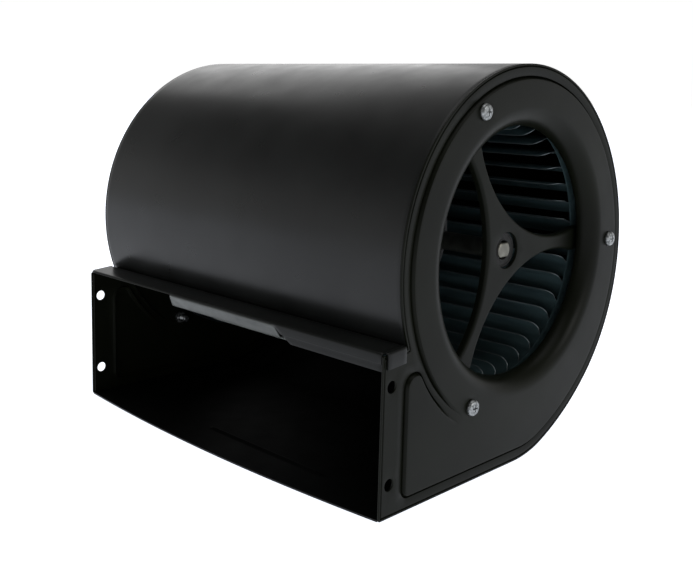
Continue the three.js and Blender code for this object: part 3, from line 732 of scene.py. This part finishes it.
def bracket_screw(index, side, finish):
    seat = PANEL_FACE + 0.05
    shell = Shell()
    pan_head(shell, seat, SCREW_HEAD, SCREW_TOP - seat, recess=2.5, depth=1.3)
    threaded_shank(shell, seat, SCREW_TIP, SCREW_SHANK, pitch=0.8, head=0.96 * SCREW_HEAD)
    shell.moved(on_circle(SCREW_CIRCLE, ARM_ANGLES[index]))
    shell.build(f"screw_{index + 1}_{side}", f"bracket_screw_{index + 1}_{side}", "housing", "zinc_plate",
                finish)


def bracket_nut(index, side, finish):
    """Hexagon nut: each row's radius is the hexagon's or the chamfer cone's, whichever is less."""
    shell = Shell()
    angles = around(96)
    flat = NUT_ACROSS / 2
    hexagon = [flat / math.cos(math.radians(a % 60 - 30)) for a in angles]
    end_cone, side_cone = 0.96 * flat, 1.16 * flat
    hole, chamfer = SCREW_SHANK + 0.05, 0.4
    rows = []
    for x, cone in [(NUT_INNER, end_cone), (NUT_INNER + 0.7, side_cone), (NUT_OUTER - 0.7, side_cone),
                    (NUT_OUTER, end_cone)]:
        rows.append([(x, *on_circle(min(h, cone), a)) for a, h in zip(angles, hexagon)])
    for x, radius in [(NUT_OUTER, hole + chamfer), (NUT_OUTER - chamfer, hole), (NUT_INNER + chamfer, hole),
                      (NUT_INNER, hole + chamfer)]:
        rows.append([(x, *on_circle(radius, a)) for a in angles])
    shell.rows([*rows, rows[0]])
    shell.moved(on_circle(SCREW_CIRCLE, ARM_ANGLES[index]))
    shell.build(f"nut_{index + 1}_{side}", f"bracket_nut_{index + 1}_{side}", "housing", "zinc_plate", finish)


def shaft_bush(side, finish):
    """Rubber bush in the bracket's hub hole, with a groove in its face."""
    inner, outer = SHAFT_RADIUS + 0.1, HUB_HOLE - 0.1
    face, back = BUSH_OUTER, BUSH_INNER
    profile = [(back, inner + 0.5), (back, outer - 0.6), (back + 0.6, outer), (face - 0.5, outer),
               (face - 0.1, outer - 0.4), (face, outer - 0.8), (face, outer - 1.4),
               (face - 0.5, outer - 1.7), (face - 0.5, inner + 1.0), (face - 0.1, inner + 0.7),
               (face - 0.2, inner + 0.2), (face - 0.6, inner), (back + 0.5, inner)]
    shell = Shell()
    shell.turned(profile, 72)
    shell.build(f"bush_{side}", f"shaft_bush_{side}", "housing", "black_rubber", finish)


def shaft_clip(side, finish):
    """Spring clip: a ring with a gap and two lugs."""
    shell = Shell()
    inner, outer = SHAFT_RADIUS + 0.1, 8.6
    end, lug_start = 158, 138       # degrees from the side opposite the gap
    front, back = [], []
    for turn in np.linspace(-end, end, 64):
        lug = smooth((abs(turn) - lug_start) / 8)
        reach = outer - 0.9 * (abs(turn) / end) * (1 - lug)
        radii = [inner, (inner + reach) / 2, reach + 0.4 * lug]
        front.append([(BUSH_INNER - GAP, *on_circle(r, turn)) for r in radii])
        back.append([(CLIP_INNER, *on_circle(r, turn)) for r in radii])
    shell.thick(front, back)
    shell.build(f"clip_{side}", f"shaft_clip_{side}", "housing", "shaft_steel", finish, bevel=0.12)


def motor_shaft(finish):
    """Fixed shaft with two flats and a chamfer at each end."""
    count = 96
    angles = around(count)

    def flatted(inset):
        slopes = [max(abs(math.sin(math.radians(a))), 1e-6) for a in angles]
        return [min(SHAFT_RADIUS - inset, (SHAFT_FLAT - inset) / slope) for slope in slopes]

    start = SHAFT_END - FLAT_LENGTH
    half = [(start, [SHAFT_RADIUS] * count), (start, flatted(0)), (SHAFT_END - 0.7, flatted(0)),
            (SHAFT_END - 0.25, flatted(0.3)), (SHAFT_END, flatted(0.8)), (SHAFT_END, [0.5] * count)]
    sections = [(-x, radii) for x, radii in reversed(half)] + half
    shell = Shell()
    shell.rows([[(x, *on_circle(r, a)) for a, r in zip(angles, radii)] for x, radii in sections])
    for x in (-SHAFT_END, SHAFT_END):
        shell.add([(x, *on_circle(0.5, a)) for a in angles], [tuple(range(count))])
    shell.build("shaft_bar", "motor_shaft", "housing", "shaft_steel", finish, sharp=25)


# ---- impeller ---------------------------------------------------------------------------------

def blade_row(side, finish, edge_highlight_finish):
    """A row of forward-curved blades, their inner edges swept out to the end ring."""
    start = DISC_HALF + 0.3
    end = WHEEL_END - 0.6
    sweep = 10.0
    bend, bend_power = -9, 1.8      # degrees from the inner edge to the outer one
    depth = BLADE_OUTER - BLADE_INNER
    columns = [start, *np.linspace(start + 8, end - 16, 8), *np.linspace(end - 14, end, 12)]
    near = np.clip((np.array(columns) - (end - sweep)) / sweep, 0, 1)
    inner = BLADE_INNER + (RING_INNER - BLADE_INNER) * (1 - np.sqrt(1 - near ** 2))
    section = {0: 0.1, 0.012: 0.425, 1.0: 0.3125}   # half thickness by share of the depth, 0.5 between
    shares = [0, 0.012, 0.03, 0.1, 0.25, 0.42, 0.6, 0.8, 0.97, 1.0]

    def skin(angle, way):
        rows = []
        for x, low in zip(columns, inner):
            line = []
            for share in shares:
                radius = low + share * (BLADE_OUTER - low)
                lean = bend * ((radius - BLADE_INNER) / depth) ** bend_power
                half = section.get(share, 0.5) * BLADE_SHEET
                line.append((x, *on_circle(radius, angle + lean + math.degrees(way * half / radius))))
            rows.append(line)
        return rows

    shell = Shell()
    for angle in around(BLADE_COUNT):
        shell.thick(skin(angle, 1), skin(angle, -1))
    # Faces along each blade's inner edge take the second finish: a bare sheet edge, lighter and more
    # metallic, with a painted highlight in its colour.
    for face, corners in enumerate(shell.faces):
        x, y, z = np.mean([shell.points[corner] for corner in corners], axis=0)
        if math.hypot(y, z) < np.interp(x, columns, inner) + 0.035 * depth:
            shell.finishes[face] = 1
    root = [(start, BLADE_INNER - 1), (start, RIM_RADIUS - 1.6), (start + 1, RIM_RADIUS - 1.6),
            (start + 1, BLADE_INNER - 0.6), (start + 0.6, BLADE_INNER - 1)]
    shell.turned(root, 152)
    lip = 0.45
    collar = [(end - 0.4, RING_INNER + lip), (end - 0.4, RIM_RADIUS - 1.6), (end + 0.6, RIM_RADIUS - 1.6),
              (end + 0.6, RING_INNER + lip), (end + 0.35, RING_INNER), (end - 0.15, RING_INNER)]
    shell.turned(collar, 152)
    shell.build(f"blade_row_{side}", f"impeller_blades_{side}", "impeller", "blade_sheet", finish,
                edge_highlight_finish)


def rim_ring(side, finish):
    """Edge of the end ring, rolled over the blade tips."""
    outer = RIM_RADIUS - 0.02
    inner = outer - 1.25
    profile = [(WHEEL_END - 6.9, inner), (WHEEL_END - 6.9, outer - 0.4), (WHEEL_END - 6.5, outer),
               (WHEEL_END - 1.2, outer), (WHEEL_END - 0.4, outer - 0.2), (WHEEL_END - 0.02, outer - 0.65),
               (WHEEL_END - 0.3, inner)]
    shell = Shell()
    shell.turned(profile, 152)
    shell.build(f"rim_{side}", f"impeller_rim_{side}", "impeller", "blade_sheet", finish)


def impeller_disc(finish):
    """Centre disc between the two rows, with two pressed rings that stiffen it."""
    radii = np.linspace(ROTOR_RADIUS + 0.3, RIM_RADIUS - 1.6, 60)
    pressed = 0.45 * (smooth(1 - abs(radii - 68) / 3) - smooth(1 - abs(radii - 74) / 2))
    front = list(zip(0.5 + pressed, radii))
    back = list(zip(-0.5 + pressed, radii))
    shell = Shell()
    shell.turned([*front, *reversed(back)], 152)
    shell.build("wheel_disc", "impeller_disc", "impeller", "blade_sheet", finish)


def disc_screw(index, finish):
    node = f"disc_screw_{index + 1}"
    seat = DISC_HALF + 0.1
    shell = Shell()
    pan_head(shell, seat, radius=3.6, height=edge_of(node, 1, 0) - seat, recess=1.9, depth=1.0)
    threaded_shank(shell, seat, edge_of(node, 0, 0), radius=2.0, pitch=0.7, head=3.4)
    shell.moved(on_circle(DISC_SCREW_CIRCLE, 45 + 90 * index))
    shell.build(f"wheel_screw_{index + 1}", node, "impeller", "zinc_plate", finish)


def rotor_shell(finish):
    """Cast rotor cup: ribs along its barrel, a flange for the disc and rounded ends."""
    ribs, rib_height = 24, 1.2
    turns = around(144)
    low, high = -ROTOR_HALF, ROTOR_HALF
    bore, inside_radius = 8.2, ROTOR_RADIUS - 3
    ribbed = [low + 9, -7, 5.5, high - 6]           # ribs run between the first two and the last two
    profile = [(low, bore), (low, 12), (low + 0.8, 13), (low + 0.8, 30), (low, 31), (low, 44),
               (low + 0.6, 46.6), (low + 1.8, 48.6), (low + 4, ROTOR_RADIUS), (low + 8, ROTOR_RADIUS),
               (low + 9, ROTOR_RADIUS), (-7, ROTOR_RADIUS), (-5.5, ROTOR_RADIUS), (-4.3, 51),
               (-4.3, ROTOR_FLANGE - 0.4), (-3.9, ROTOR_FLANGE), (-1.7, ROTOR_FLANGE),
               (-1.3, ROTOR_FLANGE - 0.4), (-1.3, 51), (-1.3, ROTOR_RADIUS), (4, ROTOR_RADIUS),
               (5.5, ROTOR_RADIUS), (high - 6, ROTOR_RADIUS), (high - 5, ROTOR_RADIUS),
               (high - 0.5, ROTOR_RADIUS), (high, ROTOR_RADIUS - 0.5), (high, inside_radius),
               (low + 3, inside_radius), (low + 3, bore)]
    rows = []
    for x, radius in profile:
        dip = rib_height / 2 if x in ribbed else 0
        rows.append([(x, *on_circle(radius - dip * (1 - math.cos(math.radians(ribs * turn))), turn))
                     for turn in turns])
    shell = Shell()
    shell.rows([*rows, rows[0]])
    shell.build("rotor_cup", "rotor_shell", "impeller", "cast_rotor", finish)


def rotor_end_cap(finish):
    """Pressed cover of the rotor with a raised bearing boss."""
    outside = ROTOR_RADIUS - 3.1
    face = ROTOR_HALF
    profile = [(face - 13, 16.3), (face - 13, 19.2), (face - 3, 19.4), (face - 3, outside),
               (face - 0.4, outside), (face, outside - 0.5), (face, 36), (face - 1, 35), (face - 1, 23),
               (face, 21.6), (face, 9), (face - 0.5, 8.2), (face - 3, 8.2), (face - 3, 16.3)]
    shell = Shell()
    shell.turned(profile, 120)
    shell.build("rotor_cover", "rotor_end_cap", "impeller", "cast_rotor", finish)


# ---- finishes ---------------------------------------------------------------------------------

class Finish:
    """A Principled material and short ways to vary it over the surface. Texture scales are per metre."""

    def __init__(self, name, colour, roughness, metallic=0.0, specular=0.5):
        self.material = bpy.data.materials.new(name)
        self.material.use_nodes = True
        self.tree = self.material.node_tree
        self.shader = self.tree.nodes["Principled BSDF"]
        values = {"Base Color": (*colour, 1), "Roughness": roughness, "Metallic": metallic,
                  "Specular IOR Level": specular}
        for socket, value in values.items():
            self.shader.inputs[socket].default_value = value
        self.where = self.tree.nodes.new("ShaderNodeTexCoord").outputs["Object"]
        self.material.diffuse_color = (*colour, 1)

    def noise(self, scale, detail=3.0, stretch=None):
        where = self.where
        if stretch:
            mapping = self.tree.nodes.new("ShaderNodeMapping")
            mapping.inputs["Scale"].default_value = stretch
            self.tree.links.new(where, mapping.inputs["Vector"])
            where = mapping.outputs["Vector"]
        node = self.tree.nodes.new("ShaderNodeTexNoise")
        node.inputs["Scale"].default_value = scale
        node.inputs["Detail"].default_value = detail
        self.tree.links.new(where, node.inputs["Vector"])
        return node.outputs["Fac"]

    def wave(self, kind, scale, distortion=0.0):
        """Bands across the shaft or rings round it."""
        node = self.tree.nodes.new("ShaderNodeTexWave")
        node.wave_type = kind
        node.bands_direction = node.rings_direction = "X"
        node.inputs["Scale"].default_value = scale
        node.inputs["Distortion"].default_value = distortion
        self.tree.links.new(self.where, node.inputs["Vector"])
        return node.outputs["Fac"]

    def ranged(self, value, low=0, high=1, start=0.3, end=0.7):
        node = self.tree.nodes.new("ShaderNodeMapRange")
        for socket, limit in (("From Min", start), ("From Max", end), ("To Min", low), ("To Max", high)):
            node.inputs[socket].default_value = limit
        self.tree.links.new(value, node.inputs["Value"])
        return node.outputs["Result"]

    def blend(self, value, first, second):
        """first where value is 0 and second where it is 1, each a colour or another node's output."""
        node = self.tree.nodes.new("ShaderNodeMix")
        node.data_type = "RGBA"
        share, first_socket, second_socket = node.inputs[0], node.inputs[6], node.inputs[7]
        for socket, colour in ((first_socket, first), (second_socket, second)):
            if isinstance(colour, tuple):
                socket.default_value = (*colour, 1)
            else:
                self.tree.links.new(colour, socket)
        self.tree.links.new(value, share)
        return node.outputs[2]

    def colours(self, value, first, second):
        self.tree.links.new(self.blend(value, first, second), self.shader.inputs["Base Color"])

    def roughness(self, value, low, high):
        self.tree.links.new(self.ranged(value, low, high), self.shader.inputs["Roughness"])

    def bump(self, *layers):
        """Layers of (height, strength, distance in metres), each on top of the one before."""
        normal = None
        for height, strength, depth in layers:
            node = self.tree.nodes.new("ShaderNodeBump")
            node.inputs["Strength"].default_value = strength
            node.inputs["Distance"].default_value = depth
            self.tree.links.new(height, node.inputs["Height"])
            if normal is not None:
                self.tree.links.new(normal, node.inputs["Normal"])
            normal = node.outputs["Normal"]
        self.tree.links.new(normal, self.shader.inputs["Normal"])


def lighter(colour, factor):
    return tuple(factor * c for c in colour)


def paint(name, colour, roughness, specular):
    """Satin paint with faint orange peel, patchy gloss and a little pale dust."""
    made = Finish(name, colour, roughness, specular=specular)
    patches = made.ranged(made.noise(14), start=0.35, end=0.65)
    dust = made.ranged(made.noise(1900, 2), start=0.68, end=0.76)
    made.colours(dust, made.blend(patches, colour, lighter(colour, 1.7)), lighter(colour, 5))
    made.roughness(made.noise(45, 4), roughness - 0.03, roughness + 0.05)
    made.bump((made.noise(9, 1), 0.25, 0.0016), (made.noise(900, 2), 0.12, 0.00012))
    return made.material


def zinc():
    """Zinc plate: crystalline mottling and fine pits."""
    made = Finish("zinc_plate_finish", (0.62, 0.64, 0.66), 0.34, metallic=0.9)
    flakes = made.ranged(made.noise(700, 2), start=0.35, end=0.62)
    made.colours(flakes, (0.1, 0.105, 0.105), (0.3, 0.31, 0.31))
    made.roughness(made.noise(1300), 0.24, 0.5)
    made.bump((made.noise(1500, 4), 0.3, 0.0001))
    return made.material


def steel(name, colour, roughness):
    """Ground steel: fine lines round the bar and a thin oil film."""
    made = Finish(name, colour, roughness, metallic=0.95)
    lines = made.noise(260, 2, stretch=(14, 1, 1))
    made.colours(made.ranged(made.noise(160)), colour, lighter(colour, 0.6))
    made.roughness(lines, roughness - 0.08, roughness + 0.12)
    made.bump((lines, 0.2, 0.00008))
    return made.material


def rubber():
    made = Finish("rubber_finish", (0.012, 0.012, 0.012), 0.8, specular=0.3)
    made.colours(made.ranged(made.noise(300)), (0.009, 0.009, 0.009), (0.02, 0.02, 0.019))
    made.roughness(made.noise(500), 0.7, 0.9)
    made.bump((made.noise(2600, 2), 0.35, 0.00008))
    return made.material


def blade_sheet(name, colour, roughness, metallic):
    """Thin coated sheet with faint rolling lines along the blade."""
    made = Finish(name, colour, roughness, metallic=metallic)
    lines = made.noise(120, 3, stretch=(0.12, 1, 1))
    made.colours(made.ranged(lines), lighter(colour, 0.7), lighter(colour, 1.4))
    made.roughness(made.noise(220), roughness - 0.06, roughness + 0.08)
    made.bump((made.noise(900, 2), 0.15, 0.0001))
    return made.material


def laminations():
    """Stacked steel sheets: lines across the shaft every half millimetre or so."""
    made = Finish("lamination_finish", (0.2, 0.2, 0.21), 0.5, metallic=0.8)
    sheets = made.wave("BANDS", 320)
    made.colours(sheets, (0.09, 0.09, 0.1), (0.26, 0.26, 0.27))
    made.roughness(made.noise(400), 0.4, 0.65)
    made.bump((sheets, 0.5, 0.0001))
    return made.material


def copper():
    """Varnished winding: strands round the shaft, darker where the varnish is thick."""
    made = Finish("winding_finish", (0.5, 0.2, 0.08), 0.35, metallic=0.6)
    strands = made.wave("RINGS", 240, distortion=1.5)
    made.colours(strands, (0.18, 0.06, 0.02), (0.55, 0.23, 0.09))
    made.roughness(made.noise(300), 0.28, 0.5)
    made.bump((strands, 0.6, 0.0003))
    return made.material


def casting():
    """Grey cast metal with a fine sandy surface."""
    made = Finish("rotor_finish", (0.045, 0.046, 0.047), 0.5, metallic=0.3)
    made.colours(made.ranged(made.noise(70)), (0.03, 0.031, 0.032), (0.07, 0.071, 0.072))
    made.roughness(made.noise(200), 0.42, 0.62)
    made.bump((made.noise(1100, 3), 0.3, 0.00015))
    return made.material


# ---- the object -------------------------------------------------------------------------------

def build_object():
    housing = paint("housing_paint_finish", (0.0044, 0.0047, 0.0044), 0.3, 0.22)
    # Darker, duller copy of the housing paint on the wrap's inner face: painted shade inside the housing.
    inside = paint("inside_shaded_paint_finish", (0.0015, 0.0017, 0.0016), 0.55, 0.03)
    plate = paint("plate_paint_finish", (0.0028, 0.0033, 0.0018), 0.34, 0.075)
    bracket = paint("bracket_paint_finish", (0.0028, 0.0034, 0.002), 0.38, 0.07)
    ledge = paint("ledge_paint_finish", (0.0036, 0.004, 0.0036), 0.32, 0.13)
    # Lighter, metallic sheet for the cut-off tongue: painted reflection of the bright floor.
    tongue_painted_reflection = blade_sheet("tongue_painted_reflection_finish", (0.06, 0.064, 0.06), 0.34, 0.6)
    plated = zinc()
    bar = steel("shaft_finish", (0.17, 0.165, 0.14), 0.38)
    rings = steel("bearing_finish", (0.5, 0.5, 0.5), 0.25)
    bush = rubber()
    blade = blade_sheet("blade_finish", (0.045, 0.075, 0.08), 0.36, 0.25)
    # Lighter, more metallic finish for the blades' inner edges: bare edge and painted highlight.
    blade_edge_highlight = blade_sheet("bare_edge_highlight_finish", (0.1, 0.12, 0.125), 0.35, 0.6)
    # Darker copy of the blade sheet for the end ring: painted shade where the ring lies in shadow.
    rim = blade_sheet("rim_shaded_finish", (0.008, 0.011, 0.012), 0.4, 0.1)
    cast = casting()

    scroll_wrap(housing, inside)
    outlet_ledge(ledge)
    cutoff_plate(tongue_painted_reflection)
    for side in ("right", "left"):
        side_plate(side, plate)
        motor_bracket(side, bracket)
        for index in range(len(ARM_ANGLES)):
            bracket_screw(index, side, plated)
            bracket_nut(index, side, plated)
        shaft_bush(side, bush)
        shaft_clip(side, bar)
        blade_row(side, blade, blade_edge_highlight)
        rim_ring(side, rim)
    motor_shaft(bar)
    impeller_disc(blade)
    for index in range(4):
        disc_screw(index, plated)
    rotor_shell(cast)
    rotor_end_cap(cast)

    carried = {"stator_core": laminations(), "rotor_core": laminations(), "stator_winding": copper(),
               "bearing_": rings}
    for name, node in frame["nodes"].items():
        for start, material in carried.items():
            if name.startswith(start):
                node.data.materials.clear()
                node.data.materials.append(material)


# ---- floor, light and camera ------------------------------------------------------------------

CAMERA_PLACE = (0.46353, -0.47787, 0.23104)
CAMERA_FORWARD = (-0.68993, 0.70972, -0.14245)
CAMERA_ROLL = 1.453
CAMERA_LENS = 48.8                  # millimetres, on a film 36 mm wide
CAMERA_SHIFT = (0.0021, -0.08975)


def glowing(name, colour, roughness, glow):
    """A plain surface that glows a little, as a light table does."""
    made = Finish(name, colour, roughness, specular=0.2)
    made.shader.inputs["Emission Color"].default_value = (0.95, 0.99, 1.08, 1)
    made.shader.inputs["Emission Strength"].default_value = glow
    made.colours(made.ranged(made.noise(3)), colour, lighter(colour, 0.99))
    return made.material


def make_floor():
    work = bmesh.new()
    bmesh.ops.create_grid(work, x_segments=4, y_segments=4, size=20)
    mesh = bpy.data.meshes.new("floor")
    work.to_mesh(mesh)
    work.free()
    mesh.materials.append(glowing("floor_finish", (0.5, 0.5, 0.5), 0.7, 1.05))
    floor = bpy.data.objects.new("floor", mesh)
    floor.location.z = -0.0005
    bpy.context.scene.collection.objects.link(floor)
    floor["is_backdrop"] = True


def area_light(name, place, aim, size, power):
    light = bpy.data.lights.new(name, "AREA")
    light.shape = "RECTANGLE"
    light.size, light.size_y = size
    light.energy = power
    lamp = bpy.data.objects.new(name, light)
    lamp.location = place
    lamp.rotation_euler = (Vector(aim) - Vector(place)).to_track_quat("-Z", "Y").to_euler()
    bpy.context.scene.collection.objects.link(lamp)


# Brightness of the studio by height: white walls at the horizon, a dim band above them and a
# large soft light overhead. Heights are the sine of the elevation, levels a share of SKY_LIGHT.
SKY_LIGHT = 2.0
FRONT_SHARE = 0.8                   # the room is dimmer in front of the outlet
SKY = [(0.0, 0.505), (0.14, 0.5), (0.28, 0.38), (0.42, 0.18), (0.58, 0.09), (0.72, 0.07), (0.82, 0.12),
       (0.9, 0.6), (1.0, 0.8)]


def make_light():
    """A sky that is brighter and dimmer by height, and two large soft lights."""
    world = bpy.data.worlds.new("studio")
    world.use_nodes = True
    tree = world.node_tree
    where = tree.nodes.new("ShaderNodeTexCoord")
    split = tree.nodes.new("ShaderNodeSeparateXYZ")
    ramp = tree.nodes.new("ShaderNodeValToRGB")
    stops = ramp.color_ramp.elements
    for height, _ in SKY[1:-1]:
        stops.new(height)
    for stop, (_, level) in zip(stops, SKY):
        stop.color = (level, level, level, 1)
    tree.links.new(where.outputs["Generated"], split.inputs["Vector"])
    tree.links.new(split.outputs["Z"], ramp.inputs["Fac"])
    background = tree.nodes["Background"]
    front = tree.nodes.new("ShaderNodeMapRange")
    front.inputs["From Min"].default_value, front.inputs["From Max"].default_value = -0.5, 0.1
    front.inputs["To Min"].default_value, front.inputs["To Max"].default_value = FRONT_SHARE, 1
    shaded = tree.nodes.new("ShaderNodeVectorMath")
    shaded.operation = "SCALE"
    tree.links.new(split.outputs["Y"], front.inputs["Value"])
    tree.links.new(ramp.outputs["Color"], shaded.inputs[0])
    tree.links.new(front.outputs["Result"], shaded.inputs["Scale"])
    tree.links.new(shaded.outputs["Vector"], background.inputs["Color"])
    background.inputs["Strength"].default_value = SKY_LIGHT
    bpy.context.scene.world = world
    area_light("back_softbox", (-1.35, 0.85, 1.1), (0, 0, 0.2), (1.3, 1.1), 5.8)
    area_light("right_softbox", (2.0, 0.35, 1.0), (0, 0, 0.15), (0.9, 0.7), 8)


def make_camera():
    data = bpy.data.cameras.new("camera")
    data.sensor_width = 36
    data.lens = CAMERA_LENS
    data.shift_x, data.shift_y = CAMERA_SHIFT
    data.clip_start, data.clip_end = 0.01, 50
    camera = bpy.data.objects.new("camera", data)
    camera.location = CAMERA_PLACE
    turn = Vector(CAMERA_FORWARD).to_track_quat("-Z", "Y").to_matrix()
    camera.rotation_euler = (turn @ Matrix.Rotation(math.radians(CAMERA_ROLL), 3, "Z")).to_euler()
    bpy.context.scene.collection.objects.link(camera)
    bpy.context.scene.camera = camera


make_camera()
make_light()
make_floor()
build_object()
bpy.context.scene.view_settings.view_transform = "Standard"

boxes = {"cad": cad_box, "visual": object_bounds()}
{name: [list(corner) for corner in box] for name, box in boxes.items()}
